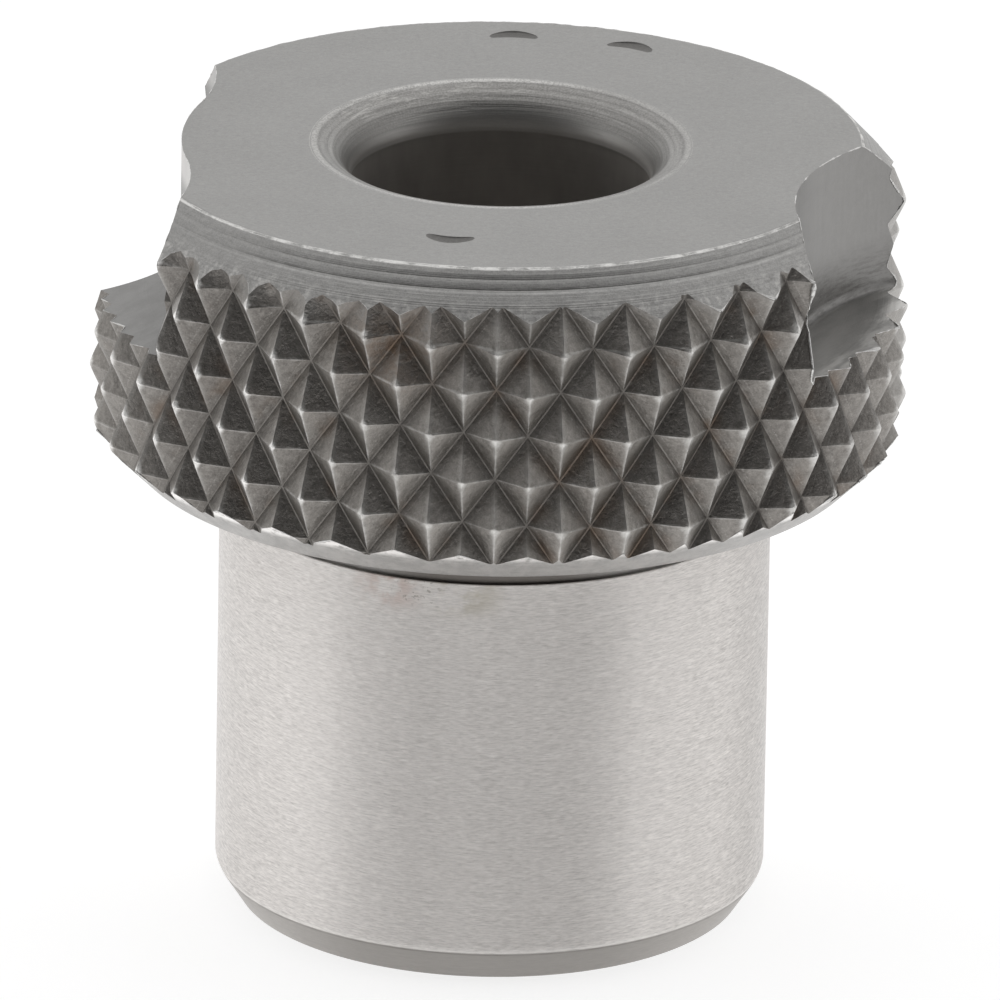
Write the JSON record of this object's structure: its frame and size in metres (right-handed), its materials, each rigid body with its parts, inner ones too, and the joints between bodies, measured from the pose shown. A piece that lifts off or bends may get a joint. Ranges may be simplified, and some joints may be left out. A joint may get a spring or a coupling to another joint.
{
  "type": "drill jig bushing",
  "caption": "Headed renewable drill bushing with a knurled head, lock screw pockets, a rounded bore entry and a ground cylindrical body.",
  "frame": {"origin": "on the bore axis, in the plane of the head's underside, where the head seats on the jig plate or liner", "axes": "+Z along the bore, from the body towards the head; the pictured front faces -Y, with the clamp pocket near +X and the slip pocket near -X"},
  "size_m": [0.0281, 0.0282, 0.0274],
  "materials": {
    "hardened_steel": "ground body and turned, knurled head in hardened steel"
  },
  "bodies": {
    "root": {"drill_bushing": "hardened_steel"}
  },
  "joints": []
}
